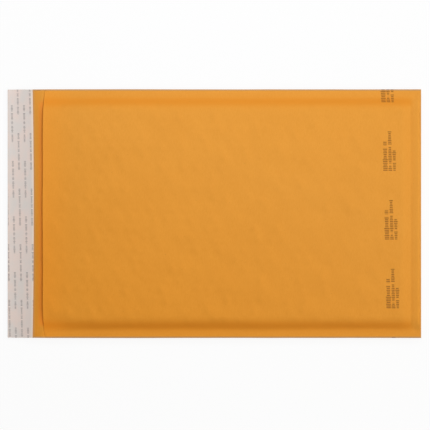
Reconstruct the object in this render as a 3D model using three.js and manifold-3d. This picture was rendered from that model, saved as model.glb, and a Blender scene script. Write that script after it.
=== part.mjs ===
// A self-seal padded mailing envelope, empty, lying on its back with the flap open.
// One sheet of kraft paper is folded in half at the bottom and sealed down both sides.
// The back panel runs on past the mouth as the flap, which carries a strip of
// adhesive under a paper release liner. A web of bubble film lines the pouch: its
// flat side faces the contents and its bubbles face the paper.
//
// Millimetres, +Z up. X runs from the flap's free edge (-X) to the bottom fold (+X),
// Y runs from side seam to side seam, and the origin is under the middle of the
// envelope, on the surface that it lies on.
import * as THREE from "three";
import { mergeVertices } from "three/addons/utils/BufferGeometryUtils.js";
import Module from "manifold-3d";

// Outline
const width = 221; // over both side seams
const panelLength = 334; // from the front panel's lip to the bottom fold
const flapLength = 34; // of back panel beyond the lip
const lipBow = 2; // how far the lip stands out at its middle

// Thickness of each layer
const paperThickness = 0.3;
const filmThickness = 0.25;
const bubbleHeight = 2.3;
const pocketGap = 4.6; // clear height inside the pouch
const liningClearance = 0.25; // between the bubbles and the paper

// Side seams, where both panels are pressed flat
const seamWidth = 8;
const seamRise = 12.5; // over which a panel climbs from the seam to its full height

// Bottom fold: a pressed band with a crease where the bubbles begin
const foldBand = 9.5;
const foldRise = 11; // over which a panel climbs from the crease to its full height
const creaseThickness = 6.8; // of the whole envelope at the crease
const foldThickness = 8; // of the whole envelope at the fold itself

// Bubbles, in a hexagonal pattern with its rows along X
const bubblePitch = 10.4;
const liningSetback = 1; // of the lining behind the front lip

// Flap
const flapShelf = 2.6; // height that the flap comes up to, once out of the mouth
const flapRise = 3.5; // over which it does so
const flapLift = 1.4; // height of the flap's free edge above the table
const stripClearance = 0.1; // under the adhesive, and between it and the liner
const adhesiveWidth = 15;
const adhesiveThickness = 0.2;
const adhesiveInset = 4; // from the flap's free edge
const linerWidth = 23.4;
const linerThickness = 0.15;
const linerInset = 0.2; // from the flap's free edge

// Smoothness of the curved stretches
const seamSteps = 4;
const foldSteps = 4;
const noseSteps = 6;

const halfWidth = width / 2;
const seamEdge = halfWidth - seamWidth; // where the panels leave the seam
const xFold = (panelLength + flapLength) / 2;
const xFree = -xFold; // the flap's free edge
const xLip = xFree + flapLength;
const xCrease = xFold - foldBand;

// Each face between two layers stands off the middle of the envelope by its swell,
// where the pouch is full, plus its skin, which is all that is left in the seams.
const fullSwell = pocketGap / 2 + bubbleHeight;
const pocketFace = { swell: pocketGap / 2, skin: 0 };
const filmFace = { swell: pocketGap / 2, skin: filmThickness };
const bubbleFace = { swell: fullSwell, skin: filmThickness };
const paperInside = { swell: fullSwell, skin: filmThickness + liningClearance };
const paperOutside = { swell: fullSwell, skin: paperInside.skin + paperThickness };
const middleHeight = paperOutside.swell + paperOutside.skin;

const easeOut = (t) => 1 - (1 - THREE.MathUtils.clamp(t, 0, 1)) ** 2;
const { lerp, smoothstep } = THREE.MathUtils;

// How full the envelope is, from 0 in the side seams to 1 over the pad.
const fullnessAcross = (y) => easeOut((seamEdge - Math.abs(y)) / seamRise);
const fullnessOf = (thickness) => (thickness / 2 - paperOutside.skin) / fullSwell;
const atCrease = fullnessOf(creaseThickness);
const atFold = fullnessOf(foldThickness);
const fullnessAlong = (x) => lerp(atCrease, 1, smoothstep(xCrease - x, 0, foldRise));

const standOff = (face, share, y) => face.swell * share * fullnessAcross(y) + face.skin;

// The fold is a half round about this line, so that its outermost edge is straight.
const noseCentre = (y) => xFold - standOff(paperOutside, atFold, y);
const lipAt = (y) => xLip - lipBow * (1 - Math.abs(y / halfWidth) ** 3);

// Places along the panels, from the mouth to the fold. Each has an x, which may
// depend on y, and the fullness there.
function panelStations(mouthX) {
  const stations = [{ x: mouthX, share: 1 }];
  for (let i = 0; i <= foldSteps; i++) {
    const x = xCrease - foldRise * (1 - i / foldSteps);
    stations.push({ x: () => x, share: fullnessAlong(x) });
  }
  stations.push({ x: noseCentre, share: atFold });
  return stations;
}

// Places across the width, closer together where the panels climb from the seam.
function acrossStations(edge) {
  const half = [];
  for (let i = 0; i <= seamSteps; i++) {
    half.push(seamEdge - seamRise * (1 - i / seamSteps));
  }
  if (edge > seamEdge) half.push(edge);
  return [...half.map((y) => -y).reverse(), 0, ...half];
}

// One face of the pouch as columns of points, from the front lip, round the fold
// and back to the mouth on the other side.
function foldedFace(face, mouthX, ys) {
  const stations = panelStations(mouthX);
  const panel = (side) =>
    stations.map(({ x, share }) =>
      ys.map((y) => new THREE.Vector3(x(y), y, middleHeight + side * standOff(face, share, y))),
    );
  const nose = [];
  for (let i = 1; i < noseSteps; i++) {
    const angle = Math.PI * (0.5 - i / noseSteps);
    nose.push(
      ys.map((y) => {
        const radius = standOff(face, atFold, y);
        const x = noseCentre(y) + radius * Math.cos(angle);
        return new THREE.Vector3(x, y, middleHeight + radius * Math.sin(angle));
      }),
    );
  }
  return [...panel(1), ...nose, ...panel(-1).reverse()];
}

// Underside of the flap at a distance from its free edge. It starts in the shape of
// the back panel's mouth, which the seams hold up at both sides. Past the lining it
// springs up onto a low shelf, and then it flattens out towards the free edge.
function flapUnderside(distance, y) {
  const out = flapLength - distance;
  const root = middleHeight - standOff(paperOutside, 1, y);
  const shelf = lerp(root, Math.max(root, flapShelf), smoothstep(out, 0, flapRise));
  return lerp(shelf, flapLift, smoothstep(out, 0, flapLength));
}

// Distances from the free edge at which the flap, adhesive and liner have points,
// so that all three bend at the same places.
const linerEdge = linerInset + linerWidth;
const flapBreaks = [
  0,
  linerInset,
  adhesiveInset,
  adhesiveInset + adhesiveWidth / 2,
  adhesiveInset + adhesiveWidth,
  linerEdge,
  flapLength - flapRise,
  flapLength - flapRise / 2,
];

// Beyond the liner the flap is drawn in a little, so that its root meets the bowed lip.
const flapX = (distance, y) =>
  distance <= linerEdge
    ? xFree + distance
    : lerp(xFree + linerEdge, lipAt(y), (distance - linerEdge) / (flapLength - linerEdge));

function flapColumn(distance, lift, ys) {
  return ys.map(
    (y) => new THREE.Vector3(flapX(distance, y), y, flapUnderside(distance, y) + lift),
  );
}

// Triangles between two columns of points that run the same way. Where they are level
// with each other the column nearer the fold goes first, whichever way round the two
// are given, so that all the layers are creased along the same lines.
function zip(from, to, triangles) {
  let a = 0;
  let b = 0;
  while (a < from.length - 1 || b < to.length - 1) {
    const nextA = from[a + 1] ?? { y: Infinity, x: 0 };
    const nextB = to[b + 1] ?? { y: Infinity, x: 0 };
    const level = Math.abs(nextA.y - nextB.y) < 1e-9;
    if (level ? nextA.x > nextB.x : nextA.y < nextB.y) {
      triangles.push(nextA, from[a], to[b]);
      a += 1;
    } else {
      triangles.push(from[a], to[b], nextB);
      b += 1;
    }
  }
}

// A closed skin from columns of points that go out along one side of a solid and
// back along the other, with each column running from its -Y end to its +Y end.
function skin(columns) {
  const triangles = [];
  columns.forEach((column, i) => zip(column, columns[(i + 1) % columns.length], triangles));
  for (const end of [0, -1]) {
    const ring = columns.map((column) => column.at(end));
    if (end === 0) ring.reverse();
    for (let i = 0; i < ring.length - 1 - i; i++) {
      const across = ring.length - 1 - i;
      triangles.push(ring[i], ring[i + 1], ring[across]);
      if (across - 1 > i + 1) triangles.push(ring[i + 1], ring[across - 1], ring[across]);
    }
  }
  return new THREE.BufferGeometry().setFromPoints(triangles);
}

const wasm = await Module();
wasm.setup();

// A closed geometry as a solid that can be joined and cut.
function solidOf(geometry) {
  const merged = mergeVertices(geometry, 1e-3);
  const corners = merged.index.array;
  const kept = [];
  for (let i = 0; i < corners.length; i += 3) {
    const [a, b, c] = corners.slice(i, i + 3);
    if (a !== b && b !== c && c !== a) kept.push(a, b, c);
  }
  const vertProperties = merged.attributes.position.array;
  const triVerts = new Uint32Array(kept);
  return new wasm.Manifold(new wasm.Mesh({ numProp: 3, vertProperties, triVerts }));
}

function geometryOf(solid) {
  const mesh = solid.getMesh();
  const geometry = new THREE.BufferGeometry();
  geometry.setAttribute("position", new THREE.BufferAttribute(mesh.vertProperties, 3));
  geometry.setIndex(new THREE.BufferAttribute(mesh.triVerts, 1));
  return geometry;
}

// Kraft paper: a single folded sheet, front panel, bottom fold, back panel and flap.
function kraftSleeve() {
  const ys = acrossStations(halfWidth);
  const outside = foldedFace(paperOutside, lipAt, ys);
  const inside = foldedFace(paperInside, lipAt, ys);
  const under = flapBreaks.map((distance) => flapColumn(distance, 0, ys));
  const over = flapBreaks.map((distance) => flapColumn(distance, paperThickness, ys));
  return skin([...outside, ...under.reverse(), ...over, ...inside.reverse()]);
}

// Outside of the bubble film on one panel: columns half a pitch apart, whose points
// are a third of them bubble tops and the rest the flat film between the bubbles.
function bubbledPanel(side) {
  const xStart = xLip + liningSetback;
  const spacing = bubblePitch / Math.sqrt(3);
  const columns = [];
  for (let i = 0; xStart + (i * bubblePitch) / 2 < xCrease - bubblePitch / 4; i++) {
    const x = xStart + (i * bubblePitch) / 2;
    const odd = i % 2;
    const reach = Math.floor((seamEdge - spacing / 3) / spacing - odd / 2);
    // The first column is the film's cut edge, which follows the lip.
    const at = (face, y) =>
      new THREE.Vector3(
        i ? x : lipAt(y) + liningSetback,
        y,
        middleHeight + side * standOff(face, fullnessAlong(x), y),
      );
    const column = [at(filmFace, -halfWidth), at(filmFace, -seamEdge)];
    for (let j = -reach - odd; j <= reach; j++) {
      const isTop = (j - odd) % 3 === 0;
      column.push(at(isTop ? bubbleFace : filmFace, (j + odd / 2) * spacing));
    }
    column.push(at(filmFace, seamEdge), at(filmFace, halfWidth));
    columns.push(column);
  }
  return columns;
}

// Bubble lining: bubble film folded at the bottom with the paper, its two halves
// welded to each other in the side seams, and hollow between them.
function bubbleLining() {
  const mouth = () => xLip + liningSetback;
  const pastMouth = () => xLip - liningSetback - lipBow;
  const creased = foldedFace(bubbleFace, mouth, acrossStations(halfWidth));
  const pressed = creased.slice(foldSteps + 1, -foldSteps - 1);
  const outer = [...bubbledPanel(1), ...pressed, ...bubbledPanel(-1).reverse()];
  const pocket = foldedFace(pocketFace, pastMouth, acrossStations(seamEdge));
  return geometryOf(solidOf(skin(outer)).subtract(solidOf(skin(pocket))));
}

// A strip on the flap, between two distances from its free edge.
function flapStrip(from, to, lift, thickness) {
  const ys = acrossStations(halfWidth);
  const breaks = flapBreaks.filter((distance) => distance >= from && distance <= to);
  const under = breaks.map((distance) => flapColumn(distance, lift, ys));
  const over = breaks.map((distance) => flapColumn(distance, lift + thickness, ys));
  return skin([...under.reverse(), ...over]);
}

const adhesiveLift = paperThickness + stripClearance;
const linerLift = adhesiveLift + adhesiveThickness + stripClearance;

const kraftPaper = new THREE.MeshStandardMaterial({ color: 0xe0973b, roughness: 0.85 });
const bubbleFilm = new THREE.MeshStandardMaterial({
  color: 0xdfe4e4,
  roughness: 0.3,
  transparent: true,
  opacity: 0.6,
});
const hotMelt = new THREE.MeshStandardMaterial({ color: 0xe9dcae, roughness: 0.35 });
const linerPaper = new THREE.MeshStandardMaterial({ color: 0xd8ccc4, roughness: 0.55 });

function node(name, geometry, material) {
  geometry.computeVertexNormals();
  const mesh = new THREE.Mesh(geometry, material);
  mesh.name = name;
  return mesh;
}

const envelope = new THREE.Group();
envelope.add(
  node("kraft_sleeve", kraftSleeve(), kraftPaper),
  node("bubble_lining", bubbleLining(), bubbleFilm),
  node(
    "adhesive_strip",
    flapStrip(adhesiveInset, adhesiveInset + adhesiveWidth, adhesiveLift, adhesiveThickness),
    hotMelt,
  ),
  node(
    "release_liner",
    flapStrip(linerInset, linerEdge, linerLift, linerThickness),
    linerPaper,
  ),
);

export default envelope;
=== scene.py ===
"""A padded mailing envelope, empty, lying on its back with its self-seal flap open."""

import math

import bpy
import numpy as np
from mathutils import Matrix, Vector


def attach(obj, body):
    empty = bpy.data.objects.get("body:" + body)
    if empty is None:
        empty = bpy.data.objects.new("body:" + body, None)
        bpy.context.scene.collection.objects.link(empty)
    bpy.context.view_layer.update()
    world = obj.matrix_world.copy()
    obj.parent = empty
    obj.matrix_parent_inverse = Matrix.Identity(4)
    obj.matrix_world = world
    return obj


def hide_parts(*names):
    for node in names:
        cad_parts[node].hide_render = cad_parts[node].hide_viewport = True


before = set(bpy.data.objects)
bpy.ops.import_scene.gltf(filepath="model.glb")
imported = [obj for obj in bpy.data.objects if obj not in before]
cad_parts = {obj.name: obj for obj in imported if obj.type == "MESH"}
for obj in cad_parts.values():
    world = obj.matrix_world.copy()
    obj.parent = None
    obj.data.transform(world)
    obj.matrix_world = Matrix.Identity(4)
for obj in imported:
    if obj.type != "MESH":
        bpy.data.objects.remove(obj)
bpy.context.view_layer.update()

# Kraft sleeve. One sheet of golden-brown kraft paper, folded in half at the bottom
# and sealed flat down both sides. The padding swells both panels between the seams,
# and the back panel runs on past the mouth as the flap. Sizes are in millimetres.
MM = 0.001
WIDTH = 221.0
PANEL_LENGTH = 334.0
FLAP_LENGTH = 34.0
SEAM_WIDTH = 8.0
FOLD_BAND = 9.5
PAPER = 0.2
PAPER_SKIN = 0.32
POCKET_GAP = 5.2
BUBBLE_HEIGHT = 2.48

HALF_WIDTH = WIDTH / 2
SEAM_EDGE = HALF_WIDTH - SEAM_WIDTH
X_FOLD = (PANEL_LENGTH + FLAP_LENGTH) / 2
X_FREE = -X_FOLD
X_LIP = X_FREE + FLAP_LENGTH
X_CREASE = X_FOLD - FOLD_BAND
FULL_SWELL = POCKET_GAP / 2 + BUBBLE_HEIGHT
MIDDLE = FULL_SWELL + PAPER_SKIN
NOISE_WAVES = 6


def smooth_noise(x, y, size, seed, octaves=3):
    """Soft, repeatable unevenness between about -1 and 1, of waves about size long."""
    rng = np.random.default_rng(seed)
    total = np.zeros(np.broadcast(x, y).shape)
    for octave in range(octaves):
        for _ in range(NOISE_WAVES):
            angle = rng.uniform(0, 2 * math.pi)
            turns = rng.uniform(0.6, 1.4) * 2 ** octave / size
            phase = rng.uniform(0, 2 * math.pi)
            along = x * math.cos(angle) + y * math.sin(angle)
            total = total + np.sin(2 * math.pi * turns * along + phase) / 2 ** octave
    return total / NOISE_WAVES


def ease_out(t):
    """From 0 to 1 with a steep start and a level end."""
    t = np.clip(t, 0, 1)
    return 1 - (1 - t) ** 2


def smooth(t):
    """From 0 to 1 with a level start and end."""
    t = np.clip(t, 0, 1)
    return t * t * (3 - 2 * t)


SEAM_RISE = 12.5
SEAM_SOFTNESS = 0.07
SEAM_WANDER = 0.5
MOUTH_TAPER = 12.0
MOUTH_REACH = 16.0


def fullness_across(y, x=0.0):
    """How far a panel has swelled at a place across it: 0 in the seams, 1 over the pad."""
    wander = SEAM_WANDER * smooth_noise(x, 0 * y, size=90, seed=5) * np.sign(y)
    drawn_in = MOUTH_TAPER * np.exp(-(((x - X_LIP) / MOUTH_REACH) ** 2))
    t = (SEAM_EDGE + wander - np.abs(y)) / (SEAM_RISE + drawn_in)
    t = SEAM_SOFTNESS * np.logaddexp(0, t / SEAM_SOFTNESS)
    return ease_out(t)


CREASE_THICKNESS = 6.8
CREASE_WANDER = 0.4
FOLD_THICKNESS = 8.0
FOLD_RISE = 8.5
MOUTH_CLOSING = 0.45
MOUTH_DEPTH = 60.0
SHARE_CREASE = (CREASE_THICKNESS / 2 - PAPER_SKIN) / FULL_SWELL
SHARE_FOLD = (FOLD_THICKNESS / 2 - PAPER_SKIN) / FULL_SWELL
NOSE_RADIUS = FOLD_THICKNESS / 2


def fullness_along(x, y=0.0):
    """How far a panel has swelled at a place along it: less at the fold and the mouth."""
    crease = X_CREASE + CREASE_WANDER * smooth_noise(0 * x, y, size=70, seed=9)
    before = SHARE_CREASE + (1 - SHARE_CREASE) * smooth((crease - x) / FOLD_RISE)
    before = before - MOUTH_CLOSING * (1 - ease_out((x - X_LIP) / MOUTH_DEPTH))
    past = np.clip((x - crease) / (FOLD_BAND - NOSE_RADIUS), 0, 1)
    past = SHARE_CREASE + (SHARE_FOLD - SHARE_CREASE) * past
    return np.where(x < crease, before, past)


LIP_BOW = 2.2
LIP_TURN = 10
LIP_WANDER = 0.2


def lip_line(y):
    """Where the front panel ends, for each place across it."""
    bow = LIP_BOW * (1 - np.abs(y / HALF_WIDTH) ** LIP_TURN)
    return X_LIP - bow + LIP_WANDER * smooth_noise(y, 0 * y, size=80, seed=3)


EDGE_ROLL = 0.3
EDGE_ROLL_WIDTH = 1.2
CORNER_DIMPLE = 0.45
CORNER_X = 178.4
CORNER_Y = 103.8
CORNER_REACH = 2.3


def middle_height(x, y):
    """Height at which the panels meet, lower at the cut edges and the fold's corners."""
    rolled = EDGE_ROLL * np.clip((np.abs(y) - HALF_WIDTH) / EDGE_ROLL_WIDTH + 1, 0, 1) ** 2
    from_corner = (x - CORNER_X) ** 2 + (np.abs(y) - CORNER_Y) ** 2
    return MIDDLE - rolled - CORNER_DIMPLE * np.exp(-from_corner / CORNER_REACH ** 2)


CREASE_DEPTH = 0.32
CREASE_WIDTH = 1.3
PADDING_UNEVEN = 0.085
PADDING_WAVE = 28.0
PADDING_FADE = 20.0
BACK_LIFT = 2.0
BACK_LIFT_REACH = 8.0


def panel_height(x, y, side, skin, swell=FULL_SWELL):
    """Height of a face that lies between two layers, on the front (1) or back (-1)."""
    from_crease = (x - X_CREASE) / CREASE_WIDTH
    dip = CREASE_DEPTH * np.exp(-(from_crease ** 2)) * fullness_across(y, x)
    full = fullness_across(y, x) * fullness_along(x, y)
    if side > 0:
        waves = smooth_noise(x, y, size=PADDING_WAVE, seed=37, octaves=2)
        waves = waves * smooth((X_CREASE - x) / PADDING_FADE)
        full = full * (1 + PADDING_UNEVEN * waves)
    height = middle_height(x, y) + side * (swell * full + skin - dip)
    if side < 0:
        lifted = 1 - smooth((x - lip_line(y)) / BACK_LIFT_REACH)
        height = height + BACK_LIFT * lifted * fullness_across(y, x)
    return height


FLAP_SHELF = 5.1
SEAM_SHELF = 5.55
FLAP_RISE = 1.3
FLAP_LIFT = 1.4
FLAP_CURL = 0.25
FLAP_STRAIGHT = 23.6


def flap_height(distance, y, lift=0.0):
    """Height of the flap's underside, or of what lies on it, at a distance from its free edge."""
    out = FLAP_LENGTH - distance
    root = panel_height(lip_line(y), y, -1, PAPER_SKIN)
    level = SEAM_SHELF + (FLAP_SHELF - SEAM_SHELF) * fullness_across(y, lip_line(y))
    shelf = root + (level - root) * smooth(out / FLAP_RISE)
    settled = smooth(out / FLAP_LENGTH)
    curl = FLAP_CURL * smooth_noise(y, 0.3 * distance, size=110, seed=21) * settled
    return shelf + (FLAP_LIFT - shelf) * settled + curl + lift


def flap_x(distance, lip):
    """Where a place on the flap lies: level with its free edge, then drawn in to the bowed lip."""
    past = np.clip((distance - FLAP_STRAIGHT) / (FLAP_LENGTH - FLAP_STRAIGHT), 0, 1)
    straight = X_FREE + np.minimum(distance, FLAP_STRAIGHT)
    return straight + (lip - X_FREE - FLAP_STRAIGHT) * past


SEAM_FLAT = 2.0
SEAM_SPACING = 2.0
EDGE_SPACING = 0.4
CREASE_LEAD = 3.0
SLOPE_COARSER = 3
NOSE_STEP_DEGREES = 15


def steps(start, stop, spacing):
    """Evenly spaced places from start up to but not including stop."""
    count = max(1, round(abs(stop - start) / spacing))
    return list(np.linspace(start, stop, count, endpoint=False))


def places_across(pad_spacing, slope_spacing):
    """Places across the width, closer together where the panels climb from the seams."""
    half = steps(0, SEAM_EDGE - SEAM_RISE, pad_spacing)
    half += steps(SEAM_EDGE - SEAM_RISE, SEAM_EDGE + SEAM_FLAT, slope_spacing)
    half += steps(SEAM_EDGE + SEAM_FLAT, HALF_WIDTH - EDGE_ROLL_WIDTH, SEAM_SPACING)
    half += steps(HALF_WIDTH - EDGE_ROLL_WIDTH, HALF_WIDTH, EDGE_SPACING) + [HALF_WIDTH]
    return np.array([-y for y in reversed(half[1:])] + half)


def places_along(back_spacing, front_spacing, fold_spacing):
    """Places along a panel, round the fold and back, as (part, value), from mouth to mouth."""
    pad = X_CREASE - FOLD_RISE - X_LIP
    back_pad = steps(0, 1, back_spacing / pad)
    front_pad = steps(0, 1, front_spacing / pad)
    slope_spacing = SLOPE_COARSER * fold_spacing
    fold = steps(X_CREASE - FOLD_RISE, X_CREASE - CREASE_LEAD, slope_spacing)
    fold += steps(X_CREASE - CREASE_LEAD, X_FOLD - NOSE_RADIUS, fold_spacing)
    places = [("back_pad", t) for t in back_pad] + [("back", x) for x in fold]
    places += [("nose", a) for a in steps(0, 180, NOSE_STEP_DEGREES)]
    places += [("front", x) for x in [X_FOLD - NOSE_RADIUS] + fold[:0:-1]]
    return places + [("front_pad", t) for t in [1.0] + front_pad[::-1]]


def laid_out(part, value, y, skin, swell=FULL_SWELL, setback=0.0):
    """X and Z of every point across a layer at one place along it."""
    lip = lip_line(y) + setback
    if part == "flap":
        return flap_x(value, lip), flap_height(value, y)
    folded = SHARE_FOLD * fullness_across(y, X_CREASE)
    centre = X_FOLD - PAPER_SKIN - folded * FULL_SWELL
    if part == "nose":
        radius = folded * swell + skin
        turn = math.radians(value - 90)
        x = centre + radius * math.cos(turn)
        return x, middle_height(centre, y) + radius * math.sin(turn)
    side = 1 if part.startswith("front") else -1
    if part.endswith("pad"):
        x = lip + (X_CREASE - FOLD_RISE - lip) * value
    else:
        stretch = np.clip((value - X_CREASE) / (X_FOLD - NOSE_RADIUS - X_CREASE), 0, 1)
        x = value + stretch * (centre - (X_FOLD - NOSE_RADIUS))
    return x, panel_height(x, y, side, skin, swell)


LINING_SETBACK = 1.0
BUBBLE_PITCH = 10.4
BUBBLE_RADIUS = 4.6
BUBBLE_MARGIN = 0.6
BUBBLE_STOP = 2.0
BUBBLE_PUSH = 0.5
BUBBLE_SPREAD = 3.1
BUBBLE_STRAY = 0.9
BUBBLE_SEED = 17
ROW_PITCH = BUBBLE_PITCH * math.sqrt(0.75)
BUBBLE_START = X_LIP - LIP_BOW + LINING_SETBACK + BUBBLE_RADIUS + BUBBLE_MARGIN
BUBBLE_COLUMNS = int((X_CREASE - BUBBLE_STOP - BUBBLE_START) / BUBBLE_PITCH)
BUBBLE_ROWS = 2 * int(SEAM_EDGE / ROW_PITCH)

scatter = np.random.default_rng(BUBBLE_SEED)
lying_row, lying_column = np.divmod(np.arange(BUBBLE_ROWS * BUBBLE_COLUMNS), BUBBLE_COLUMNS)
push_x = BUBBLE_START + (lying_column + lying_row % 2 / 2) * BUBBLE_PITCH
push_x = push_x + scatter.normal(0, BUBBLE_STRAY, len(push_x))
push_y = (lying_row - (BUBBLE_ROWS - 1) / 2) * ROW_PITCH
push_y = push_y + scatter.normal(0, BUBBLE_STRAY, len(push_y))
push = BUBBLE_PUSH * scatter.uniform(0, 1, len(push_x))


def pushed_out(x, y):
    """How far the bubbles under it push the front panel out, each by its own amount."""
    from_bubble = (x[:, None] - push_x) ** 2 + (y[:, None] - push_y) ** 2
    return (push * np.exp(-from_bubble / BUBBLE_SPREAD ** 2)).sum(axis=1)


def pick(piece):
    """Select one piece alone and make it the active one."""
    bpy.ops.object.select_all(action="DESELECT")
    piece.select_set(True)
    bpy.context.view_layer.objects.active = piece


def blank(name, columns, rows):
    """A flat grid to be shaped, with one vertex for each place along and across."""
    bpy.ops.object.select_all(action="DESELECT")
    bpy.ops.mesh.primitive_grid_add(x_subdivisions=columns - 1, y_subdivisions=rows - 1, size=1)
    piece = bpy.context.active_object
    piece.name = name
    piece.data.name = name
    return piece


def shape(piece, points):
    """Move every vertex of a piece to its place, given in millimetres."""
    piece.data.vertices.foreach_set("co", (np.asarray(points) * MM).ravel())
    piece.data.update()


def turn_out(piece):
    """Turn a piece's faces over."""
    pick(piece)
    bpy.ops.object.mode_set(mode="EDIT")
    bpy.ops.mesh.select_all(action="SELECT")
    bpy.ops.mesh.flip_normals()
    bpy.ops.object.mode_set(mode="OBJECT")


def finish_with(piece, kind, **settings):
    """Add a modifier to a piece and apply it."""
    pick(piece)
    bpy.ops.object.modifier_add(type=kind)
    modifier = piece.modifiers[-1]
    for key, value in settings.items():
        setattr(modifier, key, value)
    bpy.ops.object.modifier_apply(modifier=modifier.name)


def keep_number(piece, name, numbers):
    """Store a number on each vertex, for the piece's material to read."""
    layer = piece.data.attributes.new(name, "FLOAT", "POINT")
    layer.data.foreach_set("value", np.asarray(numbers, dtype=np.float32).ravel())


FLAP_SPACING = 1.8
FLAP_ROOT_SPACING = 0.35
EDGE_WANDER = 0.0012
SHARP_ANGLE = math.radians(40)
# Painted light and shade in the paper's colour, following its form: painted shade on the slopes
# beside the seams, painted light near the lip, and painted bounce light in the lip's shadow on the
# flap.
SEAM_SHADE_MIDDLE = 99.4
SEAM_SHADE_REACH = 4.4
SEAM_SHADE_STOP = 2.0
SEAM_SHADE_FADE = 6.0
LIP_SIDE_REACH = 30.0
FLAP_ROOT_REACH = 7.0
FLAP_ROOT_FADE = 4.0
FLAP_ROOT_SIDES = 6.0

across = places_across(pad_spacing=1.9, slope_spacing=1.1)
along = [("flap", d) for d in steps(0, FLAP_LENGTH - FLAP_RISE, FLAP_SPACING)]
along += [("flap", d) for d in steps(FLAP_LENGTH - FLAP_RISE, FLAP_LENGTH, FLAP_ROOT_SPACING)]
along += places_along(back_spacing=4.0, front_spacing=1.9, fold_spacing=0.8)
sleeve = blank("kraft_paper_sleeve", len(along), len(across))
points = np.zeros((len(across), len(along), 3))
seam_shade = np.zeros((len(across), len(along)))
lip_light = np.zeros((len(across), len(along)))
lip_shadow_bounce = np.zeros((len(across), len(along)))
front = np.zeros((len(across), len(along)))
for column, (part, value) in enumerate(along):
    x, z = laid_out(part, value, across, PAPER_SKIN)
    wander = EDGE_WANDER * smooth_noise(x, np.sign(across), size=120, seed=13)
    points[:, column, 0] = x
    points[:, column, 1] = across * (1 + wander)
    points[:, column, 2] = z
    if part.startswith("front"):
        points[:, column, 2] += pushed_out(x, across) * fullness_across(across, x)
        front[:, column] = 1
        # Painted light mask: the front panel's slope toward the lip.
        lip_light[:, column] = 1 - smooth((x - X_LIP) / LIP_SIDE_REACH)
    if part == "flap":
        # Painted bounce-light mask: the flap in the lip's shadow, where it leaves the mouth.
        nearness = smooth((value - FLAP_LENGTH + FLAP_ROOT_REACH) / FLAP_ROOT_FADE)
        inside = smooth((SEAM_EDGE - np.abs(across)) / FLAP_ROOT_SIDES)
        lip_shadow_bounce[:, column] = nearness * inside
    elif part != "nose":
        # Painted shade mask: the dips on the slopes beside the seams.
        from_middle = (np.abs(across) - SEAM_SHADE_MIDDLE) / SEAM_SHADE_REACH
        before_fold = 1 - smooth((x - X_CREASE + SEAM_SHADE_STOP) / SEAM_SHADE_FADE)
        seam_shade[:, column] = np.exp(-(from_middle ** 2)) * before_fold
shape(sleeve, points)
turn_out(sleeve)
keep_number(sleeve, "seam_shade", seam_shade)
keep_number(sleeve, "lip_light", lip_light)
keep_number(sleeve, "lip_shadow_bounce", lip_shadow_bounce)
keep_number(sleeve, "front", front)


class Wire:
    """One output of a material's node, on which sums are written as in Python."""

    def __init__(self, finish, socket):
        self.finish = finish
        self.socket = socket

    def math(self, operation, *others):
        """A Math node on this output and the others."""
        values = dict(enumerate([self, *others]))
        return self.finish.node("ShaderNodeMath", values, operation=operation)

    def __add__(self, other):
        return self.math("ADD", other)

    def __sub__(self, other):
        return self.math("SUBTRACT", other)

    def __rsub__(self, other):
        return self.finish.node("ShaderNodeMath", {0: other, 1: self}, operation="SUBTRACT")

    def __mul__(self, other):
        return self.math("MULTIPLY", other)

    def __truediv__(self, other):
        return self.math("DIVIDE", other)

    __radd__ = __add__
    __rmul__ = __mul__


class Finish:
    """The nodes of a new material or world. Its node method adds any of them."""

    def __init__(self, owner):
        self.owner = owner
        owner.use_nodes = True
        self.tree = owner.node_tree
        self.tree.nodes.clear()
        place = self.tree.nodes.new("ShaderNodeTexCoord")
        self.place = Wire(self, place.outputs["Object"])

    def node(self, kind, values, output=0, **settings):
        """A node with its settings, then the numbers or wires of its sockets."""
        made = self.tree.nodes.new(kind)
        for key, value in settings.items():
            setattr(made, key, value)
        for key, value in values.items():
            if isinstance(value, Wire):
                self.tree.links.new(value.socket, made.inputs[key])
            else:
                made.inputs[key].default_value = value
        return Wire(self, made.outputs[output])

    def axes(self):
        """X and Y of the surface, in millimetres."""
        split = self.tree.nodes.new("ShaderNodeSeparateXYZ")
        self.tree.links.new(self.place.socket, split.inputs["Vector"])
        return [Wire(self, split.outputs[axis]) / MM for axis in ("X", "Y")]

    def number(self, name):
        """A number kept on the piece's vertices."""
        return self.node("ShaderNodeAttribute", {}, "Fac", attribute_name=name)

    def grain(self, stretch, detail=3.0, roughness=0.55):
        """Noise with one blotch for each 1/stretch of a metre in X, Y and Z."""
        moved = self.node("ShaderNodeMapping", {"Vector": self.place, "Scale": stretch})
        values = {"Vector": moved, "Scale": 1.0, "Detail": detail, "Roughness": roughness}
        return self.node("ShaderNodeTexNoise", values, "Fac")

    def mix(self, factor, a, b, blend="MIX"):
        """Colour a where factor is 0 and colour b, or a tinted by b, where it is 1."""
        color_a, color_b, color_out = 6, 7, 2  # a Mix node has these sockets for colours
        values = {"Factor": factor, color_a: a, color_b: b}
        return self.node(
            "ShaderNodeMix", values, color_out, data_type="RGBA", blend_type=blend
        )

    def steady(self, value, low, high):
        """Value taken from low to high, as 0 to 1, and held there."""
        values = {"Value": value, "From Min": low, "From Max": high}
        return self.node("ShaderNodeMapRange", values)

    def surface(self, values, relief, strength=1.0):
        """The finished surface. Relief is the height of its unevenness, in millimetres."""
        raised = {"Height": relief, "Strength": strength, "Distance": MM}
        normal = self.node("ShaderNodeBump", raised)
        self.show(self.node("ShaderNodeBsdfPrincipled", {**values, "Normal": normal}))

    def show(self, shader, kind="ShaderNodeOutputMaterial"):
        """Use a shader for the whole material or world."""
        out = self.tree.nodes.new(kind)
        self.tree.links.new(shader.socket, out.inputs["Surface"])


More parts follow.
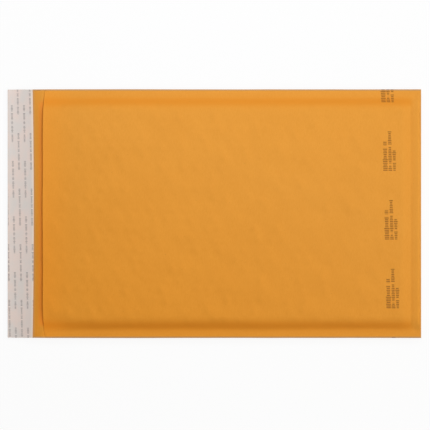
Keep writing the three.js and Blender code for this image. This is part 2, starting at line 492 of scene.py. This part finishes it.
def srgb(red, green, blue):
    """A colour as it is seen, from 0 to 255, in the linear numbers a material takes."""
    seen = [channel / 255 for channel in (red, green, blue)]
    return (*[c / 12.92 if c < 0.04045 else ((c + 0.055) / 1.055) ** 2.4 for c in seen], 1.0)


def repeat(place, length):
    """A place, counted again from 0 after each length."""
    return (place / length).math("FRACT") * length


def bars(finish, place, spans, soft=0.3):
    """1 inside each span of a place, and 0 outside, with softly inked ends."""
    total = 0.0
    for low, high in spans:
        opened = finish.steady(place, low - soft, low + soft)
        total = total + opened * (1 - finish.steady(place, high - soft, high + soft))
    return total


TICK_SHARE = 0.64
TICK_SHORTEST = 0.55
TICK_SIDE_SOFT = 0.12
TICK_END_SOFT = 0.25


def ticks(finish, along_row, off_row, reach, pitch, row):
    """A row of plain ticks of uneven height, as on a scale or a bar code."""
    cell = (along_row / pitch).math("FLOOR") + row
    chance = finish.node(
        "ShaderNodeTexWhiteNoise", {"W": cell}, "Value", noise_dimensions="1D"
    )
    height = (TICK_SHORTEST + (1 - TICK_SHORTEST) * chance) * reach
    low = height - TICK_END_SOFT
    high = height + TICK_END_SOFT
    inside = 1 - finish.steady(off_row.math("ABSOLUTE"), low, high)
    widths = [(0.0, TICK_SHARE * pitch)]
    return inside * bars(finish, repeat(along_row, pitch), widths, TICK_SIDE_SOFT * pitch)


# Each line of marks: its middle, half its height, and its spans along the width.
MARK_LINES = [
    (152.7, 2.3, [(0.0, 20.2), (22.4, 26.4)]),
    (157.0, 1.7, [(0.0, 5.0), (6.6, 21.6), (23.4, 35.0)]),
    (160.7, 1.8, [(0.0, 7.2), (8.8, 18.5)]),
]
MARK_REPEAT = 60.9
MARK_START = -83.9
MARK_SLANT = 0.0232
MARK_PITCH = 1.55


def panel_marks(finish, x, y):
    """Four blocks of three rows of plain ticks, down the front panel beside the fold."""
    across_marks = x + y * MARK_SLANT
    along_marks = repeat(y - MARK_START, MARK_REPEAT)
    total = 0.0
    for middle, reach, spans in MARK_LINES:
        row = ticks(finish, along_marks, across_marks - middle, reach, MARK_PITCH, middle)
        total = total + row * bars(finish, along_marks, spans)
    return total * finish.number("front")


LINER_WIDTH = 22.5
LINER_BOW = 1.0


def past_liner(x, y):
    """How far a place on the flap lies past the liner's inner edge, in numbers or wires."""
    return x - X_FREE - LINER_WIDTH - LINER_BOW + y * y * (LINER_BOW / HALF_WIDTH ** 2)


KRAFT = srgb(233, 156, 55)
KRAFT_DEEP = srgb(214, 138, 40)
KRAFT_PALE = srgb(239, 170, 72)
KRAFT_FLECK = srgb(150, 92, 34)
KRAFT_SEAM_SHADE = srgb(228, 144, 38)
KRAFT_EDGE_SHADE = srgb(192, 150, 100)
KRAFT_INK = srgb(128, 76, 22)
KRAFT_FALLOFF_SHADE = (1.0, 0.932, 0.65, 1.0)
LIP_PAINTED_LIGHT = (1.08, 1.03, 0.94, 1.0)
LIP_SHADOW_BOUNCE = (1.13, 0.93, 0.88, 1.0)
KRAFT_EVENNESS = 0.8
CLOUD_STRENGTH = 0.16
FLECK_STRENGTH = 0.35
FALLOFF_TILT = 0.35
FALLOFF_SPAN = (-45, 112)
CUT_EDGE_SPAN = (1.7, 0.7)
FOLD_EDGE_WIDTH = 1.1
FOLD_EDGE_STRENGTH = 0.7
EDGE_SHADE_STRENGTH = 0.8
LINER_SHADE_SPAN = (0.2, 2.4)
LINER_SHADE_STRENGTH = 0.6
FIBRE_RELIEF = 0.02


def kraft_paper(name, printed):
    """Matt kraft paper: long fibres across the sheet, soft clouds and small dark flecks."""
    paper = Finish(bpy.data.materials.new(name))
    x, y = paper.axes()
    fibres = paper.grain((1300, 320, 900), detail=4.0, roughness=0.65)
    cloud = paper.grain((28, 34, 30), detail=3.0)
    flecks = paper.steady(paper.grain((700, 1400, 900), detail=2.0), 0.70, 0.78)
    color = paper.mix(paper.steady(fibres, 0.3, 0.72), KRAFT_DEEP, KRAFT_PALE)
    color = paper.mix(KRAFT_EVENNESS, color, KRAFT)
    color = paper.mix(paper.steady(cloud, 0.35, 0.8) * CLOUD_STRENGTH, color, KRAFT_DEEP)
    # Painted shade: a deeper, darker orange in the dips beside the seams.
    color = paper.mix(paper.number("seam_shade"), color, KRAFT_SEAM_SHADE)
    # Painted shade: darker and more orange toward the bottom and the mouth, as the light falls
    # off.
    light_falloff = paper.steady(0 - y - x * FALLOFF_TILT, *FALLOFF_SPAN)
    color = paper.mix(light_falloff, color, KRAFT_FALLOFF_SHADE, "MULTIPLY")
    # Painted light: redder and lighter, less blue, on the front panel's slope toward the lip.
    color = paper.mix(paper.number("lip_light"), color, LIP_PAINTED_LIGHT, "MULTIPLY")
    color = paper.mix(flecks * FLECK_STRENGTH, color, KRAFT_FLECK)
    # Painted shade: a thin greyer, darker line along the cut edges and the fold's edge.
    cut_edge = paper.steady(y.math("ABSOLUTE"), *[HALF_WIDTH - d for d in CUT_EDGE_SPAN])
    fold_edge = paper.steady(x, X_FOLD - FOLD_EDGE_WIDTH, X_FOLD) * FOLD_EDGE_STRENGTH
    edge_shade = cut_edge.math("MAXIMUM", fold_edge)
    color = paper.mix(edge_shade * EDGE_SHADE_STRENGTH, color, KRAFT_EDGE_SHADE)
    if printed:
        worn = 0.62 + 0.3 * paper.steady(paper.grain((900, 900, 900)), 0.3, 0.7)
        color = paper.mix(panel_marks(paper, x, y) * worn, color, KRAFT_INK)
    else:
        # Painted bounce light and shade: redder, less green and blue, in the lip's shadow on the
        # flap.
        color = paper.mix(paper.number("lip_shadow_bounce"), color, LIP_SHADOW_BOUNCE, "MULTIPLY")
        # Painted shadow: a greyer, darker line on the flap beside the liner's inner edge.
        beside = 1 - paper.steady(past_liner(x, y), *LINER_SHADE_SPAN)
        color = paper.mix(beside * LINER_SHADE_STRENGTH, color, KRAFT_EDGE_SHADE)
    values = {"Base Color": color, "Roughness": 0.86 - fibres * 0.12, "Specular IOR Level": 0.25}
    paper.surface(values, fibres * FIBRE_RELIEF)
    return paper.owner


sleeve.data.materials.append(kraft_paper("kraft_outside", printed=True))
sleeve.data.materials.append(kraft_paper("kraft_inside", printed=False))
finish_with(
    sleeve, "SOLIDIFY", thickness=PAPER * MM, offset=-1, material_offset=1, material_offset_rim=1
)
pick(sleeve)
bpy.ops.object.shade_smooth_by_angle(angle=SHARP_ANGLE)
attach(sleeve, "root")
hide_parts("kraft_sleeve")


# Bubble lining. One web of clear polyethylene film: a flat sheet that faces the
# contents, and a moulded sheet bonded to its back that holds the bubbles, all round
# and about 9 mm across. It is welded flat in the side seams.
FILM_SHEET = 0.08
FILM_SHARE_OF_WIDTH = 0.998
BUBBLE_SEGMENTS = 12
BUBBLE_RINGS = 6
BUBBLE_BOND = 0.02
BUBBLE_ROUNDNESS = 0.75
BUBBLE_SHARP_ANGLE = math.radians(50)
WEB = srgb(226, 232, 232)
WEB_HAZE = srgb(246, 248, 248)

film_across = places_across(pad_spacing=6.0, slope_spacing=2.2)
film_along = places_along(back_spacing=6.0, front_spacing=6.0, fold_spacing=1.6)
lining = blank("bubble_film_lining", len(film_along), len(film_across))
film_points = np.zeros((len(film_across), len(film_along), 3))
for column, (part, value) in enumerate(film_along):
    x, z = laid_out(part, value, film_across, FILM_SHEET, POCKET_GAP / 2, LINING_SETBACK)
    film_points[:, column, 0] = x
    film_points[:, column, 1] = film_across * FILM_SHARE_OF_WIDTH
    film_points[:, column, 2] = z
shape(lining, film_points)
turn_out(lining)
finish_with(lining, "SOLIDIFY", thickness=FILM_SHEET * MM, offset=-1)


def in_rows(sheet, count, step):
    """Repeat a sheet's mesh count times, each one a step further in X, Y and Z."""
    finish_with(
        sheet, "ARRAY", count=count, use_relative_offset=False, use_constant_offset=True,
        constant_offset_displace=step,
    )


def bubble_sheet(name, side):
    """Every bubble on one panel, set out flat and then laid over the film."""
    bpy.ops.object.select_all(action="DESELECT")
    bpy.ops.mesh.primitive_uv_sphere_add(
        segments=BUBBLE_SEGMENTS, ring_count=BUBBLE_RINGS, radius=BUBBLE_RADIUS
    )
    sheet = bpy.context.active_object
    sheet.name = name
    bpy.ops.object.mode_set(mode="EDIT")
    bpy.ops.mesh.select_all(action="SELECT")
    bpy.ops.mesh.bisect(
        plane_co=(0, 0, -0.01), plane_no=(0, 0, 1), clear_inner=True, use_fill=True
    )
    bpy.ops.mesh.select_all(action="SELECT")
    bpy.ops.transform.resize(value=(1, 1, 1 / BUBBLE_RADIUS))
    bpy.ops.mesh.duplicate_move(
        TRANSFORM_OT_translate={"value": (BUBBLE_PITCH / 2, ROW_PITCH, 0)}
    )
    bpy.ops.object.mode_set(mode="OBJECT")
    in_rows(sheet, BUBBLE_COLUMNS, (BUBBLE_PITCH, 0, 0))
    in_rows(sheet, BUBBLE_ROWS // 2, (0, 2 * ROW_PITCH, 0))
    flat = np.zeros(len(sheet.data.vertices) * 3)
    sheet.data.vertices.foreach_get("co", flat)
    flat = flat.reshape(-1, 3)
    x = flat[:, 0] + BUBBLE_START
    y = flat[:, 1] - (BUBBLE_ROWS - 1) / 2 * ROW_PITCH
    rise = np.clip(flat[:, 2], 0, 1) ** BUBBLE_ROUNDNESS
    swell = POCKET_GAP / 2 + BUBBLE_HEIGHT * rise
    z = panel_height(x, y, side, FILM_SHEET + BUBBLE_BOND * np.sign(flat[:, 2]), swell)
    shape(sheet, np.stack([x, y, z], axis=1))
    if side < 0:
        turn_out(sheet)
    return sheet


bubbles = [bubble_sheet("front_bubbles", 1), bubble_sheet("back_bubbles", -1)]
pick(lining)
for sheet in bubbles:
    sheet.select_set(True)
bpy.ops.object.join()
bpy.ops.object.shade_smooth_by_angle(angle=BUBBLE_SHARP_ANGLE)
film = Finish(bpy.data.materials.new("clear_bubble_film"))
haze = film.steady(film.grain((240, 240, 240)), 0.35, 0.7)
scuffs = film.grain((900, 2600, 900))
clear_film = {
    "Base Color": film.mix(haze * 0.5, WEB, WEB_HAZE),
    "Roughness": 0.16 + haze * 0.14,
    "IOR": 1.5,
    "Alpha": 0.66 + haze * 0.2,
}
film.surface(clear_film, scuffs, strength=0.15)
lining.data.materials.clear()
lining.data.materials.append(film.owner)
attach(lining, "root")
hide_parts("bubble_lining")


# Adhesive strip. A band of pale hot-melt glue rolled onto the flap, close to its free
# edge, and covered by the liner until it is used.
ADHESIVE_INSET = 4.0
ADHESIVE_WIDTH = 15.0
ADHESIVE_THICKNESS = 0.16
ADHESIVE_WANDER = 0.5
ADHESIVE_GAP = 0.06
STRIP_ROWS = 111


def flap_piece(name, inner_edge, outer_edge, lift, thickness, spacing, end_gap):
    """A thin strip on the flap, from one edge to the other, each given across the flap."""
    rows = np.linspace(-1, 1, STRIP_ROWS) * (HALF_WIDTH - end_gap)
    count = max(3, round(float(np.mean(inner_edge(rows) - outer_edge(rows))) / spacing) + 1)
    strip = blank(name, count, len(rows))
    strip_points = np.zeros((len(rows), count, 3))
    for column, share in enumerate(np.linspace(0, 1, count)):
        distance = outer_edge(rows) + (inner_edge(rows) - outer_edge(rows)) * share
        strip_points[:, column, 0] = flap_x(distance, lip_line(rows))
        strip_points[:, column, 1] = rows
        strip_points[:, column, 2] = flap_height(distance, rows, lift(share, rows))
    shape(strip, strip_points)
    finish_with(strip, "SOLIDIFY", thickness=thickness * MM, offset=1)
    pick(strip)
    bpy.ops.object.shade_smooth_by_angle(angle=SHARP_ANGLE)
    return strip


def adhesive_inner(y):
    """The adhesive's inner edge, as a distance from the flap's free edge."""
    wander = ADHESIVE_WANDER * smooth_noise(y, 0 * y, size=24, seed=31)
    return ADHESIVE_INSET + ADHESIVE_WIDTH + wander


def adhesive_outer(y):
    """The adhesive's outer edge, as a distance from the flap's free edge."""
    return ADHESIVE_INSET + ADHESIVE_WANDER * smooth_noise(y, 0 * y, size=27, seed=33)


glue_strip = flap_piece(
    "adhesive_band",
    adhesive_inner,
    adhesive_outer,
    lambda share, y: PAPER + ADHESIVE_GAP + 0 * y,
    ADHESIVE_THICKNESS,
    spacing=2.0,
    end_gap=0.3,
)
glue = Finish(bpy.data.materials.new("hot_melt_glue"))
ribs = glue.grain((60, 900, 60), detail=2.0)
tacky_glue = {
    "Base Color": glue.mix(ribs, srgb(226, 208, 150), srgb(240, 228, 186)),
    "Roughness": 0.22 + ribs * 0.2,
    "IOR": 1.48,
}
glue.surface(tacky_glue, ribs, strength=0.4)
glue_strip.data.materials.append(glue.owner)
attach(glue_strip, "root")
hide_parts("adhesive_strip")


# Release liner. A strip of silicone-coated paper that covers the adhesive, cut a
# little short of the flap's edge. Its inner edge stands free to be gripped and peeled.
LINER_INSET = 0.2
LINER_THICKNESS = 0.08
LINER_GAP = 0.3
LINER_GRIP_LIFT = 0.35
LINER_GRIP_TURN = 6
LINER_GRIP_UNEVEN = 0.5
LINER_PAPER = srgb(232, 218, 209)
LINER_PINK = srgb(238, 216, 205)
LINER_GREY = srgb(219, 215, 210)
LINER_EDGE_GLINT = srgb(255, 238, 214)
LINER_INK = srgb(132, 118, 118)
LINER_GLINT_SPAN = (-2.2, -0.4)
LINER_GLINT_STRENGTH = 0.7
PULP_RELIEF = 0.02
DASH_COLUMN = 5.5
DASH_MIDDLE = -178.6
DASH_REPEAT = 49.5
DASH_START = -2.5
DASH_SLANT = 0.0185
DASH_REACH = 1.0
DASH_PITCH = 1.15
DASH_SPANS = [(0.0, 5.6), (6.9, 13.0), (14.1, 16.8), (18.0, 24.6), (25.8, 32.7)]
ODD_DASH_SHIFT = 31


def liner_lift(share, y):
    """How far the liner stands off the flap: more at its inner edge, which is not stuck."""
    grip = 1 + LINER_GRIP_UNEVEN * smooth_noise(y, 0 * y, size=60, seed=41)
    return PAPER + LINER_GAP + LINER_GRIP_LIFT * share ** LINER_GRIP_TURN * grip


liner = flap_piece(
    "liner_paper_strip",
    lambda y: 0 - past_liner(X_FREE, y),
    lambda y: LINER_INSET + 0 * y,
    liner_lift,
    LINER_THICKNESS,
    spacing=1.5,
    end_gap=0.1,
)


def liner_dashes(finish, x, y):
    """Columns of plain dashes that run across the flap, each column half a step on."""
    place = (x + y * DASH_SLANT - DASH_MIDDLE) / DASH_COLUMN + 0.5
    off_middle = (place.math("FRACT") - 0.5) * DASH_COLUMN
    odd = (place.math("FLOOR") / 2).math("FRACT") * 2
    along_dash = repeat(DASH_START - y + odd * (DASH_REPEAT / 2), DASH_REPEAT)
    row = ticks(finish, along_dash, off_middle, DASH_REACH, DASH_PITCH, odd * ODD_DASH_SHIFT)
    return row * bars(finish, along_dash, DASH_SPANS, soft=0.25)


coated = Finish(bpy.data.materials.new("coated_liner_paper"))
x, y = coated.axes()
tint = coated.steady(coated.grain((90, 60, 60), detail=2.0), 0.35, 0.65)
pulp = coated.steady(coated.grain((700, 500, 600)), 0.3, 0.7)
color = coated.mix(tint, LINER_PINK, LINER_GREY)
color = coated.mix(0.5, color, LINER_PAPER)
# Painted highlight: a paler band along the liner's inner edge, where it lifts.
glint = coated.steady(past_liner(x, y), *LINER_GLINT_SPAN)
color = coated.mix(glint * LINER_GLINT_STRENGTH, color, LINER_EDGE_GLINT)
faded = 0.55 + 0.3 * coated.steady(coated.grain((600, 600, 600), detail=2.0), 0.3, 0.7)
color = coated.mix(liner_dashes(coated, x, y) * faded, color, LINER_INK)
coated_paper = {"Base Color": color, "Roughness": 0.42 + pulp * 0.14, "Specular IOR Level": 0.4}
coated.surface(coated_paper, pulp * PULP_RELIEF)
liner.data.materials.append(coated.owner)
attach(liner, "root")
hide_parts("release_liner")


# Floor, light and camera. A plain white sweep just under the envelope, broad soft
# light from overhead and a little from the top right, and a long lens looking
# straight down, framed as the photograph is.
FLOOR_GAP = 0.3
FLOOR_SIZE = 6.0
FLOOR_PAINT = (0.9, 0.9, 0.9, 1.0)
WHITE = (1.0, 1.0, 1.0, 1.0)
SHADOW_SHARE = 0.1
SKY_LIGHT = 0.1
RAY_KINDS = ("Camera", "Glossy", "Transmission")

bpy.ops.object.select_all(action="DESELECT")
bpy.ops.mesh.primitive_plane_add(size=FLOOR_SIZE, location=(0, 0, -FLOOR_GAP * MM))
floor = bpy.context.active_object
floor.name = "floor"


def background_rays(finish):
    """1 for a ray that shows the background: straight, mirrored or through something."""
    rays = [finish.node("ShaderNodeLightPath", {}, f"Is {kind} Ray") for kind in RAY_KINDS]
    return rays[0].math("MAXIMUM", rays[1]).math("MAXIMUM", rays[2])


paint = Finish(bpy.data.materials.new("floor_white"))
matt = paint.node("ShaderNodeBsdfDiffuse", {"Color": FLOOR_PAINT})
glow = paint.node("ShaderNodeEmission", {"Color": WHITE, "Strength": 1.0})
share = background_rays(paint) * (1 - SHADOW_SHARE)
paint.show(paint.node("ShaderNodeMixShader", {0: share, 1: matt, 2: glow}))
floor.data.materials.append(paint.owner)

studio = Finish(bpy.data.worlds.new("studio"))
strength = SKY_LIGHT + background_rays(studio) * (1 - SKY_LIGHT)
sky = studio.node("ShaderNodeBackground", {"Color": WHITE, "Strength": strength})
studio.show(sky, "ShaderNodeOutputWorld")
bpy.context.scene.world = studio.owner


def lamp(name, place, size, power, color):
    """A soft box that points at the middle of the envelope. Its place is in metres."""
    light = bpy.data.lights.new(name, "AREA")
    light.shape = "RECTANGLE"
    light.size, light.size_y = size
    light.energy = power
    light.color = color
    holder = bpy.data.objects.new(name, light)
    bpy.context.collection.objects.link(holder)
    holder.location = place
    holder.visible_camera = False
    holder.rotation_euler = (-Vector(place)).to_track_quat("-Z", "Y").to_euler()


lamp("overhead", place=(0.65, 0.0, 1.2), size=(3.0, 2.6), power=28.4, color=(1.0, 0.985, 0.95))
lamp("top", place=(-0.05, 0.38, 0.47), size=(0.5, 0.2), power=1.25, color=(0.97, 1.0, 1.1))

PHOTO_SIZE = 430
PHOTO_LENGTH = 414.0
LENS = 150.0
SENSOR = 36.0
VIEW_X = 0.7
VIEW_Y = -1.2
PANEL_LEVEL = 6.0
field = PHOTO_SIZE * ((PANEL_LENGTH + FLAP_LENGTH) / PHOTO_LENGTH) * MM
eye = bpy.data.cameras.new("camera")
eye.lens = LENS
eye.sensor_width = SENSOR
camera = bpy.data.objects.new("camera", eye)
bpy.context.collection.objects.link(camera)
camera.location = (VIEW_X * MM, VIEW_Y * MM, LENS / SENSOR * field + PANEL_LEVEL * MM)
bpy.context.scene.camera = camera
bpy.context.scene.view_settings.view_transform = "Standard"

bpy.context.view_layer.update()
